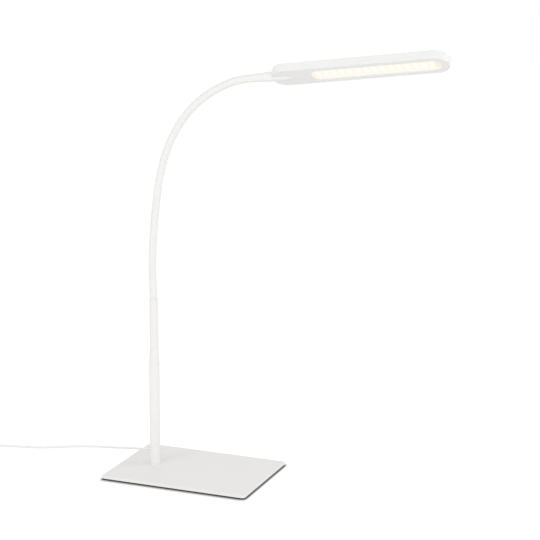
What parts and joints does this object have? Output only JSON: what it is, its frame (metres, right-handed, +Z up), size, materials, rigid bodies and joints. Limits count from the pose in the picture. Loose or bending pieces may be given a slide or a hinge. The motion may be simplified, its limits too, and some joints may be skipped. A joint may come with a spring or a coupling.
{
  "type": "gooseneck desk lamp",
  "caption": "Slim desk lamp: flat rectangular base, tube stem, flexible gooseneck and a swivelling bar head with a long lit window underneath.",
  "frame": {"origin": "where the stem's axis meets the table, on the underside of the foam pad", "axes": "+X along the base's long side, from the stem towards the head's side; +Z up; +Y completes a right-handed frame and points to the back"},
  "size_m": [0.6037, 0.216, 0.5052],
  "materials": {
    "steel_painted": "fine-textured white powder coat",
    "foam_pad": "matte black cellular foam",
    "zinc_steel": "zinc plated",
    "lead_sheath": "satin white soft PVC",
    "neck_sleeve": "matte white silicone",
    "hose_steel": "wound steel, lightly oiled",
    "head_plastic": "satin white moulded",
    "key_plastic": "polished white",
    "diffuser": "frosted, lit from behind",
    "led_strip": "white solder mask on aluminium",
    "led_phosphor": "phosphor filled silicone",
    "sheet_aluminium": "mill finish",
    "circuit_board": "solder mask",
    "chip_plastic": "moulded epoxy",
    "spring_brass": "drawn wire",
    "wire_sheath": "PVC",
    "tie_plastic": "moulded nylon",
    "adapter_plastic": "moulded white",
    "pin_brass": "nickel plated brass"
  },
  "bodies": {
    "base": {"base_plate": "steel_painted", "base_pad": "foam_pad", "base_screw": "zinc_steel", "stem_plug": "zinc_steel", "stem_tube": "steel_painted", "lead_outlet": "lead_sheath", "stem_bush": "zinc_steel", "stem_collar": "steel_painted", "lower_ferrule": "steel_painted", "stem_lead": "lead_sheath", "cord_run": "lead_sheath", "cord_coil": "lead_sheath", "cord_tail": "lead_sheath", "cord_tie": "tie_plastic", "adapter_case": "adapter_plastic", "adapter_face": "adapter_plastic", "adapter_pins": "pin_brass", "adapter_relief": "lead_sheath", "adapter_board": "circuit_board"},
    "neck_01": {"neck_sleeve_01": "neck_sleeve", "neck_hose_01": "hose_steel"},
    "neck_02": {"neck_sleeve_02": "neck_sleeve", "neck_hose_02": "hose_steel"},
    "neck_03": {"neck_sleeve_03": "neck_sleeve", "neck_hose_03": "hose_steel"},
    "neck_04": {"neck_sleeve_04": "neck_sleeve", "neck_hose_04": "hose_steel"},
    "neck_05": {"neck_sleeve_05": "neck_sleeve", "neck_hose_05": "hose_steel"},
    "neck_06": {"neck_sleeve_06": "neck_sleeve", "neck_hose_06": "hose_steel"},
    "neck_07": {"neck_sleeve_07": "neck_sleeve", "neck_hose_07": "hose_steel"},
    "neck_08": {"neck_sleeve_08": "neck_sleeve", "neck_hose_08": "hose_steel"},
    "neck_09": {"neck_sleeve_09": "neck_sleeve", "neck_hose_09": "hose_steel"},
    "neck_10": {"neck_sleeve_10": "neck_sleeve", "neck_hose_10": "hose_steel"},
    "neck_11": {"neck_sleeve_11": "neck_sleeve", "neck_hose_11": "hose_steel"},
    "neck_12": {"neck_sleeve_12": "neck_sleeve", "neck_hose_12": "hose_steel", "upper_ferrule": "steel_painted", "swivel_stud": "zinc_steel", "swivel_washer": "zinc_steel", "swivel_nut": "zinc_steel"},
    "head": {"head_boss": "head_plastic", "head_shell": "head_plastic", "bottom_cover": "head_plastic", "diffuser": "diffuser", "led_strip": "led_strip", "led_chips": "led_phosphor", "heat_spreader": "sheet_aluminium", "control_board": "circuit_board", "control_parts": "chip_plastic", "touch_spring": "spring_brass", "touch_key": "key_plastic", "head_lead": "wire_sheath"}
  },
  "joints": [
    {"name": "neck_lower_bend", "type": "hinge", "parent": "base", "child": "neck_01", "pos_m": [0, 0, 0.206], "axis": [0.0035, 1, 0.0002], "range_deg": [-14, 14]},
    {"name": "neck_sway", "type": "hinge", "parent": "neck_01", "child": "neck_02", "pos_m": [-0.00172, 0, 0.23996], "axis": [0.9992, 0, -0.0401], "range_deg": [-15, 15]},
    {"name": "neck_lower_bend_2", "type": "hinge", "parent": "neck_02", "child": "neck_03", "pos_m": [-0.00036, 0, 0.27393], "axis": [-0.0035, 1, 0.0001], "range_deg": [-14, 14]},
    {"name": "neck_sway_2", "type": "hinge", "parent": "neck_03", "child": "neck_04", "pos_m": [0.0029, 0, 0.30777], "axis": [0.9919, 0, -0.1271], "range_deg": [-15, 15]},
    {"name": "neck_lower_bend_3", "type": "hinge", "parent": "neck_04", "child": "neck_05", "pos_m": [0.00722, 0, 0.3415], "axis": [0.0035, 1, -0.0004], "range_deg": [-14, 14]},
    {"name": "neck_upper_bend", "type": "hinge", "parent": "neck_05", "child": "neck_06", "pos_m": [0.01551, 0, 0.37447], "axis": [-0.0034, 1, 0.0008], "range_deg": [-16, 8]},
    {"name": "neck_sway_3", "type": "hinge", "parent": "neck_06", "child": "neck_07", "pos_m": [0.02447, 0, 0.39478], "axis": [0.8563, 0, -0.5165], "range_deg": [-15, 15]},
    {"name": "neck_upper_bend_2", "type": "hinge", "parent": "neck_07", "child": "neck_08", "pos_m": [0.03593, 0, 0.41379], "axis": [0.003, 1, -0.0018], "range_deg": [-16, 8]},
    {"name": "neck_upper_bend_3", "type": "hinge", "parent": "neck_08", "child": "neck_09", "pos_m": [0.05008, 0, 0.4309], "axis": [-0.0027, 1, 0.0022], "range_deg": [-16, 8]},
    {"name": "neck_sway_4", "type": "hinge", "parent": "neck_09", "child": "neck_10", "pos_m": [0.06719, 0, 0.44505], "axis": [0.5015, 0, -0.8652], "range_deg": [-15, 15]},
    {"name": "neck_upper_bend_4", "type": "hinge", "parent": "neck_10", "child": "neck_11", "pos_m": [0.08639, 0, 0.45618], "axis": [0.0018, 1, -0.003], "range_deg": [-16, 8]},
    {"name": "neck_upper_bend_5", "type": "hinge", "parent": "neck_11", "child": "neck_12", "pos_m": [0.10704, 0, 0.46436], "axis": [-0.0013, 1, 0.0032], "range_deg": [-16, 8]},
    {"name": "head_swivel", "type": "hinge", "parent": "neck_12", "child": "head", "pos_m": [0.13702, 0, 0.46798], "axis": [0.9928, 0, 0.1201], "range_deg": [-55, 125]}
  ],
  "couplings": [
    {"joint": "neck_lower_bend_2", "follows": "neck_lower_bend", "ratio": 1},
    {"joint": "neck_lower_bend_3", "follows": "neck_lower_bend", "ratio": 1},
    {"joint": "neck_sway_2", "follows": "neck_sway", "ratio": 1},
    {"joint": "neck_sway_3", "follows": "neck_sway", "ratio": 1},
    {"joint": "neck_sway_4", "follows": "neck_sway", "ratio": 1},
    {"joint": "neck_upper_bend_2", "follows": "neck_upper_bend", "ratio": 1},
    {"joint": "neck_upper_bend_3", "follows": "neck_upper_bend", "ratio": 1},
    {"joint": "neck_upper_bend_4", "follows": "neck_upper_bend", "ratio": 1},
    {"joint": "neck_upper_bend_5", "follows": "neck_upper_bend", "ratio": 1}
  ]
}
